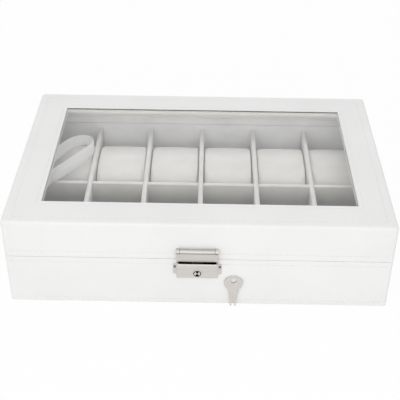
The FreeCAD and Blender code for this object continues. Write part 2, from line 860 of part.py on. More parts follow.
def main():
    os.makedirs("parts", exist_ok=True)
    for name, shape in build().items():
        shape.exportStep("parts/%s.step" % name)
        print(name, len(shape.Solids), shape.isValid())
    print("hinge axis", hinge_axis_y, hinge_axis_z)
    print("hasp axis", hasp_axis_depth(), hasp_axis_height())
    print("bolt travel", bolt_travel())


main()
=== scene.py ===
import math

import bmesh
import bpy
from mathutils import Matrix, Vector, noise


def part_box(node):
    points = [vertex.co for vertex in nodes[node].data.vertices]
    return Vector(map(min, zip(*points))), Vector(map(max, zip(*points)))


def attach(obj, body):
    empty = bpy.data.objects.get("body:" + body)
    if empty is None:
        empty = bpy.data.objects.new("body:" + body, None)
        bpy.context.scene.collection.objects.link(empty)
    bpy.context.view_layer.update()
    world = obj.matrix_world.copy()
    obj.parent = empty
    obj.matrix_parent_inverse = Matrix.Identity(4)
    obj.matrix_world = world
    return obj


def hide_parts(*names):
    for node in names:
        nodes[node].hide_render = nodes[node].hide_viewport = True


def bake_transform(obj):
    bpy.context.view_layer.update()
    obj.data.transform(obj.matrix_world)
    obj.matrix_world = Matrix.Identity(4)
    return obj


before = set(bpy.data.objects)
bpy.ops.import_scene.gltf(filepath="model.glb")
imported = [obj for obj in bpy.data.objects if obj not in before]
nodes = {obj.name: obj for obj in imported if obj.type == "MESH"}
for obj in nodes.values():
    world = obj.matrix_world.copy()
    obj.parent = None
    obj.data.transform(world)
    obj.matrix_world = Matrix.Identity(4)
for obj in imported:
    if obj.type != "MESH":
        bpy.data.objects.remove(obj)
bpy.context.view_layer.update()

mm = 0.001
weldGap = 0.02 * mm  # vertices that lie closer are one
print("frame loaded:", len(nodes), "nodes")

# Camera, found from corners of the box and its window; angles in radians
view = {
    "location": (4.843, -618.132, 471.683),  # mm
    "azimuth": 0.00868,
    "elevation": 0.62068,
    "roll": 0.01177,
    "focalPixels": 868.898,
    "framePixels": 400,
    "sensor": 36.0,
    "nearest": 0.01,  # m; what is closer isn't drawn
}


def addCamera():
    az, el, roll = view["azimuth"], view["elevation"], view["roll"]
    back = Vector((math.sin(az) * math.cos(el), -math.cos(az) * math.cos(el), math.sin(el)))
    right = (-back).cross(Vector((0, 0, 1))).normalized()
    up = right.cross(-back)
    across = right * math.cos(roll) + up * math.sin(roll)
    upright = up * math.cos(roll) - right * math.sin(roll)
    place = Matrix((across, upright, back)).transposed().to_4x4()
    place.translation = Vector(view["location"]) * mm
    bpy.ops.object.camera_add()
    camera = bpy.context.active_object
    camera.name = "photoCamera"
    camera.matrix_world = place
    camera.data.sensor_width = view["sensor"]
    camera.data.lens = view["focalPixels"] * view["sensor"] / view["framePixels"]
    camera.data.clip_start = view["nearest"]
    bpy.context.scene.camera = camera


addCamera()
print("camera placed")

# Studio: soft light on every side, a little more from the front, and a white sweep; metres and watts
studio = {
    "worldLight": 0.66,
    "frontLamp": {"place": (-0.08, -1.1, 0.6), "size": 1.3, "power": 5.2},
    "topLamp": {"place": (-0.1, 0.3, 1.25), "size": 1.4, "power": 2.6},
    "aim": (0, 0, 0.04),
    "floorColour": (0.9, 0.9, 0.9),
    "floorWhite": 0.95,  # how much of the floor the camera sees as plain white
    "floorHalf": 3.0,
    "floorDrop": 0.2 * mm,
}


def seenDirectly(tree):
    # 1 for rays that show the backdrop: straight, mirrored or through glass
    path = tree.nodes.new("ShaderNodeLightPath")
    seen = path.outputs["Is Camera Ray"]
    for kind in ("Is Glossy Ray", "Is Transmission Ray"):
        either = tree.nodes.new("ShaderNodeMath")
        either.operation = "MAXIMUM"
        tree.links.new(seen, either.inputs[0])
        tree.links.new(path.outputs[kind], either.inputs[1])
        seen = either.outputs[0]
    return seen


def mixShaders(tree, share, first, second, out):
    mix = tree.nodes.new("ShaderNodeMixShader")
    tree.links.new(share, mix.inputs["Fac"])
    tree.links.new(first.outputs[0], mix.inputs[1])
    tree.links.new(second.outputs[0], mix.inputs[2])
    tree.links.new(mix.outputs[0], out.inputs["Surface"])


def addBackground(tree, strength):
    node = tree.nodes.new("ShaderNodeBackground")
    node.inputs["Color"].default_value = (1, 1, 1, 1)
    node.inputs["Strength"].default_value = strength
    return node


def lightWorld():
    world = bpy.data.worlds.new("studioWorld")
    bpy.context.scene.world = world
    world.use_nodes = True
    tree = world.node_tree
    tree.nodes.clear()
    lit, white = addBackground(tree, studio["worldLight"]), addBackground(tree, 1.0)
    mixShaders(tree, seenDirectly(tree), lit, white, tree.nodes.new("ShaderNodeOutputWorld"))


def addLamp(name):
    facts = studio[name]
    bpy.ops.object.light_add(type="AREA", location=facts["place"])
    lamp = bpy.context.active_object
    lamp.name = name
    lamp.data.shape = "DISK"
    lamp.data.size = facts["size"]
    lamp.data.energy = facts["power"]
    aim = Vector(studio["aim"]) - Vector(facts["place"])
    lamp.rotation_euler = aim.to_track_quat("-Z", "Y").to_euler()


def addFloor():
    bpy.ops.mesh.primitive_plane_add(size=2 * studio["floorHalf"], location=(0, 0, -studio["floorDrop"]))
    floor = bpy.context.active_object
    floor.name = "studioFloor"
    material = bpy.data.materials.new("paleFloor")
    material.use_nodes = True
    tree = material.node_tree
    tree.nodes.clear()
    lit = tree.nodes.new("ShaderNodeBsdfDiffuse")
    lit.inputs["Color"].default_value = (*studio["floorColour"], 1)
    white = tree.nodes.new("ShaderNodeEmission")
    white.inputs["Strength"].default_value = 1.0
    share = tree.nodes.new("ShaderNodeMath")
    share.operation = "MULTIPLY"
    share.inputs[1].default_value = studio["floorWhite"]
    tree.links.new(seenDirectly(tree), share.inputs[0])
    mixShaders(tree, share.outputs[0], lit, white, tree.nodes.new("ShaderNodeOutputMaterial"))
    floor.data.materials.append(material)


lightWorld()
addLamp("frontLamp")
addLamp("topLamp")
addFloor()
bpy.context.scene.view_settings.view_transform = "Standard"
print("studio lit")


# Material helpers. In the looks below, a noise is its scale, detail and roughness; spots are where a
# tone starts and ends and the share of the colour at each end; a bump is its height and strength;
# and these facts go straight to the shader
sockets = {
    "roughness": "Roughness",
    "metallic": "Metallic",
    "specular": "Specular IOR Level",
    "sheen": "Sheen Weight",
    "sheenRoughness": "Sheen Roughness",
    "anisotropic": "Anisotropic",
    "transmission": "Transmission Weight",
    "index": "IOR",
}


def newMaterial(name, look, **changes):
    look = {**look, **changes}
    material = bpy.data.materials.new(name)
    material.use_nodes = True
    tree = material.node_tree
    shader = tree.nodes["Principled BSDF"]
    shader.inputs["Base Color"].default_value = (*look["colour"], 1)
    for fact, socket in sockets.items():
        if fact in look:
            shader.inputs[socket].default_value = look[fact]
    return material, tree, shader


def objectPlace(tree, stretch=(1, 1, 1)):
    coordinates = tree.nodes.new("ShaderNodeTexCoord")
    mapping = tree.nodes.new("ShaderNodeMapping")
    mapping.inputs["Scale"].default_value = stretch
    tree.links.new(coordinates.outputs["Object"], mapping.inputs["Vector"])
    return mapping.outputs["Vector"]


def addNoise(tree, place, scale, detail, roughness=0.5):
    node = tree.nodes.new("ShaderNodeTexNoise")
    node.inputs["Scale"].default_value = scale
    node.inputs["Detail"].default_value = detail
    node.inputs["Roughness"].default_value = roughness
    tree.links.new(place, node.inputs["Vector"])
    return node.outputs["Fac"]


def addCells(tree, place, scale):
    node = tree.nodes.new("ShaderNodeTexVoronoi")
    node.inputs["Scale"].default_value = scale
    tree.links.new(place, node.inputs["Vector"])
    return node.outputs["Distance"]


def roughen(tree, shader, value, middle, spread):
    node = tree.nodes.new("ShaderNodeMapRange")
    node.inputs["To Min"].default_value = middle + spread[0]
    node.inputs["To Max"].default_value = middle + spread[1]
    tree.links.new(value, node.inputs["Value"])
    tree.links.new(node.outputs["Result"], shader.inputs["Roughness"])


def addBump(tree, shader, height, bump, before=None):
    node = tree.nodes.new("ShaderNodeBump")
    node.inputs["Distance"].default_value, node.inputs["Strength"].default_value = bump
    tree.links.new(height, node.inputs["Height"])
    if before is not None:
        tree.links.new(before, node.inputs["Normal"])
    tree.links.new(node.outputs["Normal"], shader.inputs["Normal"])
    return node.outputs["Normal"]


def distanceFrom(tree, axis, middle):
    # From a level along one axis, or from a point where the axis is "spot"
    if axis == "spot":
        away = tree.nodes.new("ShaderNodeVectorMath")
        away.operation = "DISTANCE"
        tree.links.new(objectPlace(tree), away.inputs[0])
        away.inputs[1].default_value = middle
        return away.outputs["Value"]
    split = tree.nodes.new("ShaderNodeSeparateXYZ")
    tree.links.new(objectPlace(tree), split.inputs[0])
    away = tree.nodes.new("ShaderNodeMath")
    away.operation = "SUBTRACT"
    away.inputs[1].default_value = middle
    tree.links.new(split.outputs[axis], away.inputs[0])
    gap = tree.nodes.new("ShaderNodeMath")
    gap.operation = "ABSOLUTE"
    tree.links.new(away.outputs[0], gap.inputs[0])
    return gap.outputs[0]


def shadeBand(tree, colour, axis, middle, half, left, soft):
    # A band or spot of painted shade: its middle, half its width, how much colour is left, how soft its edge
    # is
    share = tree.nodes.new("ShaderNodeMapRange")
    share.inputs["From Min"].default_value = half - soft
    share.inputs["From Max"].default_value = half + soft
    share.inputs["To Min"].default_value = left
    tree.links.new(distanceFrom(tree, axis, middle), share.inputs["Value"])
    toned = tree.nodes.new("ShaderNodeVectorMath")
    toned.operation = "SCALE"
    tree.links.new(colour, toned.inputs[0])
    tree.links.new(share.outputs["Result"], toned.inputs["Scale"])
    return toned.outputs["Vector"]


def colourIn(tree, shader, value, colour, spots, bands=()):
    # Darker and lighter spots after the value, then the bands of painted shade over them
    low, high, darkest, lightest = spots
    ramp = tree.nodes.new("ShaderNodeValToRGB")
    for end, place, share in zip(ramp.color_ramp.elements, (low, high), (darkest, lightest)):
        end.position = place
        end.color = (*(min(1.0, part * share) for part in colour), 1)
    tree.links.new(value, ramp.inputs["Fac"])
    tone = ramp.outputs["Color"]
    for band in bands:
        tone = shadeBand(tree, tone, *band)
    tree.links.new(tone, shader.inputs["Base Color"])


# White leatherette with a fine pebbled grain
leatherLook = {
    "colour": (0.875, 0.872, 0.868),
    "roughness": 0.46,
    "roughSpread": (-0.05, 0.12),
    "cloud": (14.0, 2.0),
    "spots": (0.3, 0.7, 0.975, 1.015),
    "grain": 950.0,
    "grainBump": (0.06 * mm, 0.8),
    "swell": (120.0, 2.0),
    "swellBump": (0.12 * mm, 0.6),
    "specular": 0.42,
}


def makeLeather():
    look = leatherLook
    material, tree, shader = newMaterial("whiteLeatherette", look)
    place = objectPlace(tree)
    colourIn(tree, shader, addNoise(tree, place, *look["cloud"]), look["colour"], look["spots"])
    cells = addCells(tree, place, look["grain"])
    roughen(tree, shader, cells, look["roughness"], look["roughSpread"])
    soft = addBump(tree, shader, addNoise(tree, place, *look["swell"]), look["swellBump"])
    addBump(tree, shader, cells, look["grainBump"], soft)
    return material


# Short-pile velvet of the lining, with painted shade darkening it towards the foot of the dividers
velvetLook = {
    "floor": (0.757, 0.747, 0.723),
    # the walls' copy of the same velvet, painted lighter
    "wall": (0.94, 0.935, 0.93),
    "roughness": 0.92,
    "nap": (32.0, 4.0, 0.6),
    "spots": (0.32, 0.7, 0.93, 1.05),
    "pile": (1600.0, 2.0),
    "bump": (0.2 * mm, 0.7),
    "sheen": 0.25,
    "sheenRoughness": 0.5,
    "specular": 0.2,
    # painted shade at the foot of the dividers: how far below their top it starts, share of the colour left,
    # how soft
    "footShadeBelowTop": 9.0 * mm,
    "footShadeLeft": 0.55,
    "footShadeSoft": 6.5 * mm,
}

# Soft brushed cloth of the pillows
pillowLook = {
    "colour": (0.83, 0.818, 0.788),
    "roughness": 0.88,
    "nap": (45.0, 4.0, 0.6),
    "spots": (0.3, 0.7, 0.95, 1.04),
    "pile": (2200.0, 2.0),
    "bump": (0.15 * mm, 0.6),
    "sheen": 0.2,
    "sheenRoughness": 0.45,
    "specular": 0.2,
}


def makeCloth(name, look, colour, bands=()):
    material, tree, shader = newMaterial(name, look, colour=colour)
    place = objectPlace(tree)
    colourIn(tree, shader, addNoise(tree, place, *look["nap"]), colour, look["spots"], bands)
    addBump(tree, shader, addNoise(tree, place, *look["pile"]), look["bump"])
    return material


# A band of painted shade, darker towards the foot of the dividers
def paintedFootShade():
    look = velvetLook
    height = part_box("long_divider")[1][2] - look["footShadeBelowTop"]
    return 2, 0.0, height, look["footShadeLeft"], look["footShadeSoft"]


# Satin nickel, brushed level, or upright on the key
nickelLook = {
    "colour": (0.71, 0.685, 0.655),
    "metallic": 1.0,
    "roughness": 0.33,
    "roughSpread": (-0.09, 0.14),
    "level": (0.012, 1, 1),
    "upright": (1, 1, 0.02),
    "brush": (5200.0, 3.0, 0.6),
    "spots": (0.3, 0.72, 0.82, 1.1),
    "bump": (0.03 * mm, 0.5),
    "anisotropic": 0.4,
    "flapRougher": 0.15,
    "coverRougher": 0.08,
}


def makeNickel(name, run="level", rougher=0.0, bands=()):
    look = nickelLook
    base = look["roughness"] + rougher
    material, tree, shader = newMaterial(name, look, roughness=base)
    brush = addNoise(tree, objectPlace(tree, look[run]), *look["brush"])
    colourIn(tree, shader, brush, look["colour"], look["spots"], bands)
    roughen(tree, shader, brush, base, look["roughSpread"])
    addBump(tree, shader, brush, look["bump"])
    return material


# Painted shade on the lock and the hasp, in creases, recesses and behind the cover, and over highlights it
# damps: shift from what they mark, half width and share of the colour left
paintedShades = {
    "soft": 0.05 * mm,
    "crease": (-0.45 * mm, 0.4 * mm, 0.08),  # painted shade in the crease under the hasp's roll
    # painted shade over the hasp's roll, damping its highlight
    "roll": (2.5 * mm, 2.5 * mm, 0.86),
    # painted shade along the cover's top edge, damping its highlight
    "coverEdgeShade": (0.0, 0.45 * mm, 0.78),
    "keywayShade": (6.2 * mm, 6.0 * mm, 0.03),  # painted shade in the keyway behind the plug's face
    # painted shade in the pockets above and below the keyhole
    "upperPocketShade": (1.35 * mm, 1.0 * mm, 0.03),
    "lowerPocketShade": (-1.45 * mm, 1.05 * mm, 0.03),
    # painted shade on the back plate behind the cover
    "shadeBehindCover": 0.05,
}


def paintedShadeAt(name, axis, middle):
    shift, half, left = paintedShades[name]
    return axis, middle + shift, half, left, paintedShades["soft"]


def paintedPocketShadeAt(name, middle):
    shift, radius, left = paintedShades[name]
    return "spot", middle + Vector((0, 0, shift)), radius, left, paintedShades["soft"]


def makeLockMetals():
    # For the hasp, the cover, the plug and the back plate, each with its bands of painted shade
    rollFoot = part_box("hasp_pin")[0][2]
    coverLow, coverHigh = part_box("lock_cover")
    plugLow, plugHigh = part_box("lock_plug")
    ringLow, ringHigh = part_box("keyhole_ring")
    face = Vector(((plugLow[0] + plugHigh[0]) / 2, plugLow[1], (ringLow[2] + ringHigh[2]) / 2))
    coverMiddle, coverHalf = (coverLow[0] + coverHigh[0]) / 2, (coverHigh[0] - coverLow[0]) / 2
    return (
        makeNickel("flapNickel", rougher=nickelLook["flapRougher"], bands=[
            paintedShadeAt("crease", 2, rollFoot),
            paintedShadeAt("roll", 2, rollFoot)]),
        makeNickel("coverNickel", rougher=nickelLook["coverRougher"], bands=[
            paintedShadeAt("coverEdgeShade", 2, coverHigh[2])]),
        makeNickel("plugNickel", bands=[
            paintedShadeAt("keywayShade", 1, plugLow[1]),
            paintedPocketShadeAt("upperPocketShade", face),
            paintedPocketShadeAt("lowerPocketShade", face)]),
        makeNickel("plateNickel", bands=[
            (0, coverMiddle, coverHalf, paintedShades["shadeBehindCover"], paintedShades["soft"])]))


# Dark nickel of the tacks
darkLook = {
    "colour": (0.2, 0.19, 0.18),
    "metallic": 1.0,
    "roughness": 0.4,
    "roughSpread": (-0.1, 0.15),
    "noise": (900.0, 3.0),
    "spots": (0.3, 0.7, 0.6, 1.5),
}


def makeDarkNickel():
    look = darkLook
    material, tree, shader = newMaterial("darkNickel", look)
    grain = addNoise(tree, objectPlace(tree), *look["noise"])
    colourIn(tree, shader, grain, look["colour"], look["spots"])
    roughen(tree, shader, grain, look["roughness"], look["roughSpread"])
    return material


# White satin ribbon: fine ribs across, streaks along
satinLook = {
    "colour": (0.975, 0.97, 0.96),
    "roughness": 0.36,
    "stretch": (1, 0.05, 1),
    "streaks": (900.0, 3.0, 0.6),
    "spots": (0.3, 0.7, 0.9, 1.05),
    "streakBump": (0.1 * mm, 0.5),
    "ribs": 900.0,
    "ribWander": 0.4,
    "ribBump": (0.02 * mm, 0.5),
    "sheen": 1.0,
    "sheenRoughness": 0.3,
    "anisotropic": 0.5,
}


def makeSatin():
    look = satinLook
    material, tree, shader = newMaterial("whiteSatin", look)
    uv = tree.nodes.new("ShaderNodeUVMap")
    uv.uv_map = "ribbonRun"
    mapping = tree.nodes.new("ShaderNodeMapping")
    mapping.inputs["Scale"].default_value = look["stretch"]
    tree.links.new(uv.outputs["UV"], mapping.inputs["Vector"])
    streaks = addNoise(tree, mapping.outputs["Vector"], *look["streaks"])
    colourIn(tree, shader, streaks, look["colour"], look["spots"])
    ribs = tree.nodes.new("ShaderNodeTexWave")
    ribs.bands_direction = "Y"
    ribs.inputs["Scale"].default_value = look["ribs"]
    ribs.inputs["Distortion"].default_value = look["ribWander"]
    tree.links.new(uv.outputs["UV"], ribs.inputs["Vector"])
    first = addBump(tree, shader, streaks, look["streakBump"])
    addBump(tree, shader, ribs.outputs["Fac"], look["ribBump"], first)
    return material


# Clear pane that lets the lamps through
glassLook = {
    "colour": (0.99, 0.992, 0.988),
    "roughness": 0.02,
    "roughSpread": (-0.02, 0.03),
    "smear": (9.0, 3.0),
    "transmission": 1.0,
    "index": 1.45,
}


def makeGlass():
    look = glassLook
    material, tree, shader = newMaterial("clearPane", look)
    smear = addNoise(tree, objectPlace(tree), *look["smear"])
    roughen(tree, shader, smear, look["roughness"], look["roughSpread"])
    clear = tree.nodes.new("ShaderNodeBsdfTransparent")
    clear.inputs["Color"].default_value = (*look["colour"], 1)
    path = tree.nodes.new("ShaderNodeLightPath")
    mixShaders(tree, path.outputs["Is Shadow Ray"], shader, clear, tree.nodes["Material Output"])
    return material


# Materials whose tone and relief come from one noise
plainLooks = {
    "tanSuede": {
        "colour": (0.88, 0.86, 0.81), "roughness": 0.95, "specular": 0.2,
        "noise": (1500.0, 3.0, 0.7), "spots": (0.3, 0.7, 0.94, 1.06), "bump": (0.2 * mm, 0.6)},
    "baseFelt": {
        "colour": (0.16, 0.15, 0.14), "roughness": 0.95, "specular": 0.2,
        "noise": (900.0, 3.0, 0.7), "spots": (0.3, 0.7, 0.8, 1.2), "bump": (0.2 * mm, 0.6)},
    "rawFibreboard": {
        "colour": (0.45, 0.31, 0.18), "roughness": 0.85, "stretch": (1, 1, 6),
        "noise": (700.0, 4.0, 0.7), "spots": (0.3, 0.7, 0.8, 1.2), "bump": (0.1 * mm, 0.5)},
    "whiteThread": {
        "colour": (0.86, 0.858, 0.85), "roughness": 0.6,
        "noise": (2500.0, 2.0), "spots": (0.3, 0.7, 0.85, 1.05), "bump": (0.1 * mm, 0.5)},
}


def makePlain(name):
    look = plainLooks[name]
    material, tree, shader = newMaterial(name, look)
    grain = addNoise(tree, objectPlace(tree, look.get("stretch", (1, 1, 1))), *look["noise"])
    colourIn(tree, shader, grain, look["colour"], look["spots"])
    addBump(tree, shader, grain, look["bump"])
    return material


leather = makeLeather()
# painted shade towards the foot of the dividers
velvet = makeCloth("greyVelvet", velvetLook, velvetLook["floor"], [paintedFootShade()])
# the same velvet, painted lighter for the walls and the frame
velvetPaintedLighter = makeCloth("velvetPaintedLighter", velvetLook, velvetLook["wall"])
pillowCloth = makeCloth("creamCloth", pillowLook, pillowLook["colour"])
nickel = makeNickel("satinNickel")
keyNickel = makeNickel("keyNickel", "upright")
flapNickel, coverNickel, plugNickel, plateNickel = makeLockMetals()
darkNickel = makeDarkNickel()
satin = makeSatin()
glass = makeGlass()
suede, felt, board, thread = (makePlain(name) for name in plainLooks)
print("materials made")


def dress(material, *names):
    for name in names:
        piece = nodes[name]
        piece.data.materials.clear()
        piece.data.materials.append(material)


def nodesStarting(*starts):
    return [name for name in nodes if name.startswith(starts)]


caseWalls = ["case_front_board", "case_back_board", "case_left_board", "case_right_board"]
lidWalls = ["lid_front_board", "lid_back_board", "lid_left_board", "lid_right_board"]
dress(board, "bottom_board", *caseWalls)
dress(leather, *lidWalls)  # turned up inside them, where the lip goes in
dress(felt, "base_felt")
dress(velvet, *nodesStarting("floor_liner", "long_divider", "cross_divider"))
# the walls and the frame get the velvet painted lighter
dress(velvetPaintedLighter, *nodesStarting("case_liner", "lid_liner"), "lid_top_frame")
dress(nickel, *nodesStarting("hinge"), "hasp_tacks", "hasp_pin", "lock_bolt", "keyhole_ring")
dress(darkNickel, "lock_tacks")
dress(plateNickel, "lock_back_plate")
dress(flapNickel, "hasp_flap", "hasp_plate")
dress(coverNickel, "lock_cover")
dress(plugNickel, "lock_plug")
dress(keyNickel, "key")
dress(glass, "glass_pane")
dress(suede, "window_trim")
print("nodes dressed")


# Mesh helpers
def selectOnly(piece):
    bpy.ops.object.select_all(action="DESELECT")
    piece.select_set(True)
    bpy.context.view_layer.objects.active = piece


def startBox(name, low, high):
    bpy.ops.mesh.primitive_cube_add(size=1, location=[(a + b) / 2 for a, b in zip(low, high)])
    piece = bpy.context.active_object
    piece.name = name
    piece.scale = [b - a for a, b in zip(low, high)]
    bpy.ops.object.transform_apply(location=True, rotation=True, scale=True)
    return piece


def editing(piece):
    selectOnly(piece)
    bpy.ops.object.mode_set(mode="EDIT")
    bpy.ops.mesh.select_all(action="DESELECT")


def pick(piece, kind, test):
    bpy.ops.mesh.select_mode(type=kind)
    bpy.ops.mesh.select_all(action="DESELECT")
    mesh = bmesh.from_edit_mesh(piece.data)
    for part in {"VERT": mesh.verts, "EDGE": mesh.edges, "FACE": mesh.faces}[kind]:
        if test(part):
            part.select_set(True)
    mesh.select_flush_mode()
    bmesh.update_edit_mesh(piece.data)


def doneEditing():
    bpy.ops.object.mode_set(mode="OBJECT")


def applyModifier(piece, kind, **facts):
    modifier = piece.modifiers.new(kind, kind)
    for key, value in facts.items():
        setattr(modifier, key, value)
    selectOnly(piece)
    bpy.ops.object.modifier_apply(modifier=modifier.name)


def smooth(piece, degrees):
    selectOnly(piece)
    bpy.ops.object.shade_smooth_by_angle(angle=math.radians(degrees))


def finishPiece(piece, material, body, slot, *replaced):
    piece.data.materials.clear()
    piece.data.materials.append(material)
    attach(piece, body)
    if replaced:
        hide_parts(*replaced)


def near(a, b, gap=0.01 * mm):
    return abs(a - b) < gap


# Leather round the case and the lid, pressed in along its seams
wrap = {
    "thickness": 0.8 * mm,
    "uprightRound": 2.5 * mm,
    "topRound": 2.0 * mm,
    "roundSteps": 5,
    "turnIn": 6.8 * mm,  # how far the open edges are folded inwards
    "footTurnIn": 4.7 * mm,
    "grooveHalf": 0.55 * mm,
    "grooveDepth": 0.22 * mm,
    "grooveReach": 4.0 * mm,  # in from the outside, past the rounded uprights
    "topSeam": 7.2 * mm,  # in from the outer edge
    "windowSeam": 3.6 * mm,  # out from the window
    "rimSeam": 5.0 * mm,  # from the parting
    "footSeam": 3.6 * mm,  # from the bottom edge
    "windowRound": 0.5 * mm,
    # Out from the window and down, in rounds
    "windowLoops": ((2.0, 0.0), (1.0, 0.0), (0.5, 0.13), (0.13, 0.5), (0.0, 1.0)),
    "trimWall": 1.0 * mm,  # of the suede strip
    "cornerCrease": 4.2 * mm,  # in from the upright edges
    "creaseReach": 0.1 * mm,  # vertices this close to a face are pressed in
    "leastUpright": 10.0 * mm,  # edges that climb more are the box's upright ones
    "levelNormal": 0.9,
    "flatNormal": 0.999,
    "smoothAngle": 35,
}
grooveLoops = (-2, -1, 0, 1, 2)  # the sunk line, its edges and a flat strip outside each, in half widths


def windowPlace():
    # Half sizes of the window, and how far it sits behind the middle of the lid
    low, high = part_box("window_trim")
    trim = wrap["trimWall"]
    return high[0] - trim, (high[1] - low[1]) / 2 - trim, (high[1] + low[1]) / 2


def sliceAcross(place, normal):
    bpy.ops.mesh.select_all(action="SELECT")
    bpy.ops.mesh.bisect(plane_co=place, plane_no=normal)


def pressGroove(piece, z, halfX, halfY):
    for offset in grooveLoops:
        sliceAcross((0, 0, z + offset * wrap["grooveHalf"]), (0, 0, 1))
    innerX, innerY = halfX - wrap["grooveReach"], halfY - wrap["grooveReach"]
    pick(piece, "VERT", lambda v: near(v.co.z, z) and (abs(v.co.x) > innerX or abs(v.co.y) > innerY))
    sink = (1 - wrap["grooveDepth"] / halfX, 1 - wrap["grooveDepth"] / halfY, 1)
    bpy.ops.transform.resize(value=sink, center_override=(0, 0, z))


def pressCreases(piece, *halves):
    # Upright creases beside the corners, half as wide and as deep as the grooves
    crease, half, depth = wrap["cornerCrease"], wrap["grooveHalf"] / 2, wrap["grooveDepth"] / 2
    for side in (-1, 1):
        for offset in grooveLoops:
            for axis, normal in ((0, (1, 0, 0)), (1, (0, 1, 0))):
                place = side * (halves[axis] - crease + offset * half)
                sliceAcross([place * part for part in normal], normal)
    for axis in (0, 1):
        line, face = halves[axis] - crease, halves[1 - axis]
        pick(piece, "VERT", lambda v: (
            near(abs(v.co[axis]), line) and near(abs(v.co[1 - axis]), face, wrap["creaseReach"])))
        sink = [1, 1, 1]
        sink[1 - axis] = 1 - depth / face
        bpy.ops.transform.resize(value=sink, center_override=(0, 0, 0))


def turnIn(piece, z, halfX, halfY, reach):
    pick(piece, "EDGE", lambda e: e.is_boundary and all(near(v.co.z, z) for v in e.verts))
    bpy.ops.mesh.extrude_region_move()
    bpy.ops.transform.resize(value=(1 - reach / halfX, 1 - reach / halfY, 1), center_override=(0, 0, z))


def thicken(piece):
    applyModifier(piece, "SOLIDIFY", thickness=wrap["thickness"], offset=-1, use_even_offset=True)
    editing(piece)
    bpy.ops.mesh.select_all(action="SELECT")
    bpy.ops.mesh.normals_make_consistent(inside=False)
    doneEditing()
    smooth(piece, wrap["smoothAngle"])


def roundUprights(piece):
    pick(piece, "EDGE", lambda e: abs(e.verts[0].co.z - e.verts[1].co.z) > wrap["leastUpright"])
    bpy.ops.mesh.bevel(offset=wrap["uprightRound"], segments=wrap["roundSteps"], affect="EDGES")


def topRings(halfX, halfY):
    # Half sizes, drop and shift of the loops from the rounded rim in to the window's edge
    windowX, windowY, shift = windowPlace()
    rings = []
    for seam, outerX, outerY, behind in (
            (-wrap["topSeam"], halfX, halfY, 0.0), (wrap["windowSeam"], windowX, windowY, shift)):
        for offset in reversed(grooveLoops):
            outward = seam + offset * wrap["grooveHalf"]
            drop = 0.0 if offset else wrap["grooveDepth"]
            rings.append((outerX + outward, outerY + outward, drop, behind))
    for out, down in wrap["windowLoops"]:
        outward, drop = wrap["windowRound"] * out, wrap["windowRound"] * down
        rings.append((windowX + outward, windowY + outward, drop, shift))
    return rings


def lidWrap():
    low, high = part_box("lid_leather")
    piece = startBox("lidWrap", low, high)
    halfX, halfY = high[0], high[1]
    editing(piece)
    pick(piece, "FACE", lambda f: f.normal.z < -wrap["levelNormal"])
    bpy.ops.mesh.delete(type="FACE")
    roundUprights(piece)
    pick(piece, "EDGE", lambda e: len(e.link_faces) == 2 and all(near(v.co.z, high[2]) for v in e.verts))
    bpy.ops.mesh.bevel(offset=wrap["topRound"], segments=wrap["roundSteps"], affect="EDGES")
    pick(piece, "FACE", lambda f: f.normal.z > wrap["flatNormal"])
    bpy.ops.mesh.delete(type="ONLY_FACE")
    pick(piece, "EDGE", lambda e: e.is_boundary and all(near(v.co.z, high[2]) for v in e.verts))
    lastX, lastY = halfX - wrap["topRound"], halfY - wrap["topRound"]
    lastDrop, lastShift = 0.0, 0.0
    for ringX, ringY, drop, shift in topRings(halfX, halfY):
        bpy.ops.mesh.extrude_region_move()
        bpy.ops.transform.resize(
            value=(ringX / lastX, ringY / lastY, 1), center_override=(0, lastShift, high[2]))
        bpy.ops.transform.translate(value=(0, shift - lastShift, lastDrop - drop))
        lastX, lastY, lastDrop, lastShift = ringX, ringY, drop, shift
    sliceAcross((0, 0, high[2] - wrap["topRound"] - wrap["grooveHalf"]), (0, 0, 1))
    pressCreases(piece, halfX, halfY)
    pressGroove(piece, low[2] + wrap["rimSeam"], halfX, halfY)
    turnIn(piece, low[2], halfX, halfY, wrap["turnIn"])
    doneEditing()
    thicken(piece)
    return piece


def caseWrap():
    low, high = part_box("case_leather")
    piece = startBox("caseWrap", low, high)
    halfX, halfY = high[0], high[1]
    editing(piece)
    for side in (-1, 1):
        pick(piece, "FACE", lambda f: f.normal.z * side > wrap["levelNormal"])
        bpy.ops.mesh.delete(type="FACE")
    roundUprights(piece)
    pressCreases(piece, halfX, halfY)
    pressGroove(piece, high[2] - wrap["rimSeam"], halfX, halfY)
    pressGroove(piece, low[2] + wrap["footSeam"], halfX, halfY)
    turnIn(piece, high[2], halfX, halfY, wrap["turnIn"])
    turnIn(piece, low[2], halfX, halfY, wrap["footTurnIn"])
    doneEditing()
    thicken(piece)
    return piece


finishPiece(lidWrap(), leather, "lid", "white_leather", "lid_leather")
finishPiece(caseWrap(), leather, "case", "white_leather", "case_leather")
print("leather wrapped")


# Stitches, lying in the pressed seams
stitch = {
    "length": 3.3 * mm,
    "width": 0.55 * mm,
    "height": 0.3 * mm,
    "pitch": 4.8 * mm,
    "sides": 6,
    "endBevel": 0.22,  # of its length and width
    "cornerGap": 3.2 * mm,  # of the rows on the walls
    "sunk": 0.1 * mm,
    "smoothAngle": 60,
}


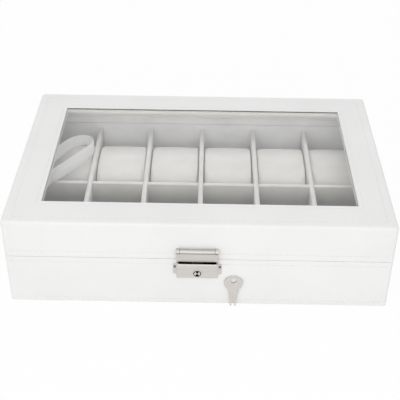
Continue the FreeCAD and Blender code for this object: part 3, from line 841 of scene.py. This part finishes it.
def stitchRow(name, start, end, outward):
    run = end - start
    count = int(run.length / stitch["pitch"])
    step = run / count
    bpy.ops.mesh.primitive_cylinder_add(vertices=stitch["sides"], radius=0.5, depth=1)
    piece = bpy.context.active_object
    piece.name = name
    editing(piece)
    pick(piece, "FACE", lambda f: abs(f.normal.z) > wrap["levelNormal"])
    bpy.ops.mesh.bevel(offset=stitch["endBevel"], segments=1, affect="EDGES")
    doneEditing()
    along, up = run.normalized(), Vector(outward)
    axes = (up.cross(along) * stitch["width"], up * stitch["height"], along * stitch["length"])
    turn = Matrix(axes).transposed().to_4x4()
    turn.translation = start + step / 2
    piece.data.transform(turn)
    applyModifier(
        piece, "ARRAY", count=count, use_relative_offset=False, use_constant_offset=True,
        constant_offset_displace=step)
    smooth(piece, stitch["smoothAngle"])
    return piece


def ringOfRows(name, halfX, halfY, z, outward=None, shift=0.0):
    # Counterclockwise from the front left corner
    turns = ((-1, -1), (1, -1), (1, 1), (-1, 1))
    corners = [Vector((x * halfX, shift + y * halfY, z)) for x, y in turns]
    sides = ((0, -1, 0), (1, 0, 0), (0, 1, 0), (-1, 0, 0))
    rows = []
    for i, start in enumerate(corners):
        end = corners[(i + 1) % len(corners)]
        margin = (end - start).normalized() * (0.0 if outward else stitch["cornerGap"])
        rows.append(stitchRow("%s_%d" % (name, i), start + margin, end - margin, outward or sides[i]))
    return rows


def joined(name, rows):
    bpy.ops.object.select_all(action="DESELECT")
    for row in rows:
        row.select_set(True)
    bpy.context.view_layer.objects.active = rows[0]
    bpy.ops.object.join()
    rows[0].name = name
    return rows[0]


def addStitches():
    lidLow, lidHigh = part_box("lid_leather")
    caseLow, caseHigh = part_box("case_leather")
    halfX, halfY = lidHigh[0], lidHigh[1]
    windowX, windowY, shift = windowPlace()
    seam, inner, sunk = wrap["topSeam"], wrap["windowSeam"], stitch["sunk"]
    top = lidHigh[2] - sunk
    lidRows = ringOfRows("topSeam", halfX - seam, halfY - seam, top, (0, 0, 1))
    lidRows += ringOfRows("windowSeam", windowX + inner, windowY + inner, top, (0, 0, 1), shift)
    lidRows += ringOfRows("lidRimSeam", halfX - sunk, halfY - sunk, lidLow[2] + wrap["rimSeam"])
    caseRows = ringOfRows("caseRimSeam", halfX - sunk, halfY - sunk, caseHigh[2] - wrap["rimSeam"])
    caseRows += ringOfRows("footSeam", halfX - sunk, halfY - sunk, caseLow[2] + wrap["footSeam"])
    finishPiece(joined("lidStitches", lidRows), thread, "lid", "white_leather")
    finishPiece(joined("caseStitches", caseRows), thread, "case", "white_leather")


addStitches()
print("stitches sewn")


# Metal edges: the nodes keep their meshes, and live modifiers soften their arrises
metalEdge = {"width": 0.12 * mm, "segments": 2, "sharp": 40}


def softenEdges(name):
    piece = nodes[name]
    weld = piece.modifiers.new("weld", "WELD")
    weld.merge_threshold = weldGap
    bevel = piece.modifiers.new("bevel", "BEVEL")
    bevel.width = metalEdge["width"]
    bevel.segments = metalEdge["segments"]
    bevel.limit_method = "ANGLE"
    bevel.angle_limit = math.radians(metalEdge["sharp"])


for name in ("lock_cover", "lock_back_plate", "hasp_plate", "hasp_flap", "key", "keyhole_ring"):
    softenEdges(name)
print("metal edges softened")


# Pillows: foam under cloth, blown up a little by the cloth simulation, with a seam round each end
pillowFacts = {
    "count": 12,
    "voxel": 2.3 * mm,
    "shrink": 0.985,
    "pressure": 4.0,
    "quality": 5,
    "frames": 20,
    "mostMove": 1.4 * mm,
    "seamFromEnd": 3.0 * mm,
    "seamDepth": 0.25 * mm,
    "seamWidth": 0.9 * mm,
    "puckers": 26,
    "puckerHeight": 0.12 * mm,
    "puckerReach": 3.6 * mm,
    "puckerDrift": (3, 1.3),  # times round, and how far it shifts the puckers
    "core": 0.3,  # share of the section, round its middle, that the seam leaves flat
    "clearance": 0.06 * mm,
    "widen": 0.45 * mm,  # each end, up to the dividers
    "backGap": 3.8 * mm,  # behind the pillow
    "square": (0.95, 0.1, 0.7),  # how far each axis is pushed out towards its ends
    "waveScale": 45.0,
    "waveDepth": 0.004,
    "waveStep": (3.7, 1.9, 0),  # from one pillow's waves to the next one's
    "smoothAngle": 70,
}


def pillowStart(name):
    source = nodes[name]
    piece = source.copy()
    piece.data = source.data.copy()
    bpy.context.scene.collection.objects.link(piece)
    piece.parent = None
    piece.matrix_world = Matrix.Identity(4)
    piece.name = "pillowModel"
    editing(piece)
    bpy.ops.mesh.select_all(action="SELECT")
    bpy.ops.mesh.remove_doubles(threshold=weldGap)
    doneEditing()
    return piece


def blowUp(piece):
    starts = [v.co.copy() for v in piece.data.vertices]
    cloth = piece.modifiers.new("cloth", "CLOTH")
    cloth.settings.use_pressure = True
    cloth.settings.uniform_pressure_force = pillowFacts["pressure"]
    cloth.settings.effector_weights.gravity = 0
    cloth.settings.quality = pillowFacts["quality"]
    cloth.point_cache.frame_start = 1
    cloth.point_cache.frame_end = pillowFacts["frames"]
    for number in range(1, pillowFacts["frames"] + 1):
        bpy.context.scene.frame_set(number)
    selectOnly(piece)
    bpy.ops.object.modifier_apply(modifier=cloth.name)
    for vertex, start in zip(piece.data.vertices, starts):
        move = vertex.co - start
        if move.length > pillowFacts["mostMove"]:
            vertex.co = start + move.normalized() * pillowFacts["mostMove"]
    bpy.context.scene.frame_set(1)


def simulatePillow():
    name = "watch_pillow_1"
    low, high = (Vector(corner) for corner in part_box(name))
    centre = (low + high) / 2
    piece = pillowStart(name)
    piece.data.transform(Matrix.Translation(-centre))
    piece.data.transform(Matrix.Scale(pillowFacts["shrink"], 4))
    applyModifier(piece, "REMESH", mode="VOXEL", voxel_size=pillowFacts["voxel"])
    blowUp(piece)
    applyModifier(piece, "SUBSURF", levels=1, render_levels=1)
    return piece, high - centre


def sewEnds(piece, half):
    # A seam near each end, with the cloth gathered into it
    facts = pillowFacts
    times, drift = facts["puckerDrift"]
    for vertex in piece.data.vertices:
        co = vertex.co
        gap = abs(abs(co.x) - half.x + facts["seamFromEnd"])
        inward = math.exp(-(gap / facts["seamWidth"]) ** 2) * facts["seamDepth"]
        angle = math.atan2(co.z / half.z, co.y / half.y)
        wave = (1 + math.sin(facts["puckers"] * angle + drift * math.sin(times * angle))) / 2
        inward += math.exp(-gap / facts["puckerReach"]) * facts["puckerHeight"] * wave
        out = Vector((0, co.y / half.y, co.z / half.z))
        if out.length > facts["core"]:
            vertex.co -= out.normalized() * inward


def fillBox(piece, half):
    # Squared up and stretched until it fills its compartment
    reach = [max(abs(v.co[axis]) for v in piece.data.vertices) for axis in range(3)]
    room = half + Vector((pillowFacts["widen"], -pillowFacts["backGap"] / 2, 0))
    for vertex in piece.data.vertices:
        for axis in range(3):
            share = abs(vertex.co[axis]) / reach[axis]
            share *= 1 + pillowFacts["square"][axis] * share ** 2 * (1 - share)
            vertex.co[axis] = math.copysign(share * (room[axis] - pillowFacts["clearance"]), vertex.co[axis])


def layPillow(model, number):
    name = "watch_pillow_%d" % number
    low, high = (Vector(corner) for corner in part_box(name))
    centre = (low + high) / 2 - Vector((0, pillowFacts["backGap"] / 2, 0))
    piece = model.copy()
    piece.data = model.data.copy()
    bpy.context.scene.collection.objects.link(piece)
    piece.name = "pillow_%d" % number
    if number % 2:
        piece.data.transform(Matrix.Rotation(math.pi, 4, "Z"))
    offset = number * Vector(pillowFacts["waveStep"])
    for vertex in piece.data.vertices:
        wave = noise.noise((vertex.co + offset) * pillowFacts["waveScale"])
        vertex.co *= 1 - pillowFacts["waveDepth"] * (1 + wave)
    piece.data.transform(Matrix.Translation(centre))
    finishPiece(piece, pillowCloth, "pillow_%d" % number, "pillow_cloth", name)
    smooth(piece, pillowFacts["smoothAngle"])


def addPillows():
    model, half = simulatePillow()
    sewEnds(model, half)
    fillBox(model, half)
    for number in range(1, pillowFacts["count"] + 1):
        layPillow(model, number)
    bpy.data.objects.remove(model)


addPillows()
print("pillows laid")


# Satin stay, in two lengths that meet at the tip of its loop
ribbonFacts = {
    "width": 12.0 * mm,
    "thickness": 0.25 * mm,
    "reach": 43.6 * mm,  # out from the left wall
    "run": 51.0 * mm,  # along it, to the front and to the back
    "gap": 0.3 * mm,  # below the top of the lid's liner
    "wallGap": 0.35 * mm,
    "edgeMargin": 0.4 * mm,  # below the top of the lip
    "stepsBetween": 8,
    "across": 6,
    "cup": 0.5 * mm,
    "smoothAngle": 60,
    "apex": 7,  # station at the tip of the loop
    # Share of the reach, share of the run, the level it climbs from and how far, lean in degrees
    "stations": (
        (0.0, -0.65, "case", 0.0, 0.0),
        (0.0, -0.5, "case", 0.12, 0.0),
        (0.06, -0.34, "case", 0.57, 2.0),
        (0.27, -0.11, "divider", 0.08, 8.0),
        (0.56, 0.17, "divider", 0.2, 20.0),
        (0.84, 0.47, "divider", 0.31, 22.0),
        (0.99, 0.7, "divider", 0.37, 6.0),
        (1.0, 0.87, "divider", 0.4, -8.0),
        (0.84, 0.96, "divider", 0.44, -14.0),
        (0.6, 0.84, "divider", 0.52, -8.0),
        (0.38, 0.5, "divider", 0.64, 2.0),
        (0.18, 0.04, "divider", 0.68, 8.0),
        (0.0, -0.35, "lid", 0.0, 0.0),
        (0.0, -0.49, "lid", 0.0, 0.0)),
}


def ribbonRoute():
    # Points down the ribbon's middle, each with its lean
    facts = ribbonFacts
    half = facts["width"] / 2
    _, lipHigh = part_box("case_liner_left")
    lidLow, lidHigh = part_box("lid_liner_left")
    caseEnd = lipHigh[2] - half - facts["edgeMargin"]
    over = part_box("long_divider")[1][2] + half
    top = lidHigh[2] - facts["gap"] - half
    climbs = {
        "case": (caseEnd, over - caseEnd),
        "divider": (over, top - over),
        "lid": ((lidLow[2] + lidHigh[2]) / 2, 0.0),
    }
    wall = lipHigh[0] + facts["wallGap"]
    route = []
    for out, run, level, share, lean in facts["stations"]:
        start, climb = climbs[level]
        point = Vector((wall + out * facts["reach"], run * facts["run"], start + share * climb))
        route.append((point, lean))
    return route


def alongRoute(route, first, last):
    # Smooth points through the stations, as a Catmull-Rom curve
    def at(i):
        return route[max(0, min(len(route) - 1, i))]
    points = []
    for i in range(first, last):
        (a, _), (b, leanB), (c, leanC), (d, _) = at(i - 1), at(i), at(i + 1), at(i + 2)
        for k in range(ribbonFacts["stepsBetween"]):
            t = k / ribbonFacts["stepsBetween"]
            point = 0.5 * (
                2 * b + (c - a) * t + (2 * a - 5 * b + 4 * c - d) * t * t + (3 * b - a - 3 * c + d) * t ** 3)
            points.append((point, leanB + (leanC - leanB) * t))
    points.append(route[last])
    return points


def ribbonRow(mesh, point, run, lean):
    # Vertices across the ribbon, upright but for its lean and slightly cupped
    facts = ribbonFacts
    up = Vector((0, math.sin(math.radians(lean)), math.cos(math.radians(lean))))
    across = (up - run * run.dot(up)).normalized()
    side = run.cross(across).normalized()
    row = []
    for k in range(facts["across"] + 1):
        s = k / facts["across"] * 2 - 1
        row.append(mesh.verts.new(
            point + across * (s * facts["width"] / 2) + side * (facts["cup"] * (1 - s * s))))
    return row


def ribbonMesh(name, points):
    facts = ribbonFacts
    mesh = bmesh.new()
    layer = mesh.loops.layers.uv.new("ribbonRun")
    rows, lengths = [], [0.0]
    for i, (point, lean) in enumerate(points):
        ahead, behind = points[min(i + 1, len(points) - 1)][0], points[max(i - 1, 0)][0]
        if i:
            lengths.append(lengths[-1] + (point - behind).length)
        rows.append(ribbonRow(mesh, point, (ahead - behind).normalized(), lean))
    for i in range(len(rows) - 1):
        for k in range(facts["across"]):
            corners = ((i, k), (i, k + 1), (i + 1, k + 1), (i + 1, k))
            face = mesh.faces.new([rows[a][b] for a, b in corners])
            for loop, (a, b) in zip(face.loops, corners):
                loop[layer].uv = (b / facts["across"] * facts["width"], lengths[a])
    data = bpy.data.meshes.new(name)
    mesh.to_mesh(data)
    mesh.free()
    return data, lengths[-1]


def ribbonPiece(name, points):
    facts = ribbonFacts
    data, length = ribbonMesh(name, points)
    piece = bpy.data.objects.new(name, data)
    bpy.context.scene.collection.objects.link(piece)
    applyModifier(piece, "SOLIDIFY", thickness=facts["thickness"], offset=0)
    smooth(piece, facts["smoothAngle"])
    piece.data.materials.append(satin)
    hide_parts("ribbon_stay")
    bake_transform(piece)
    return length


def addRibbon():
    # Each length blends from the case to the lid, level, between its anchor and the tip
    route = ribbonRoute()
    apex, last = ribbonFacts["apex"], len(route) - 1
    nearLength = ribbonPiece("ribbonNear", alongRoute(route, 0, apex))
    farLength = ribbonPiece("ribbonFar", alongRoute(route, apex, last))
    print("ribbon lengths", round(nearLength, 4), round(farLength, 4))


addRibbon()
print("ribbon hung")
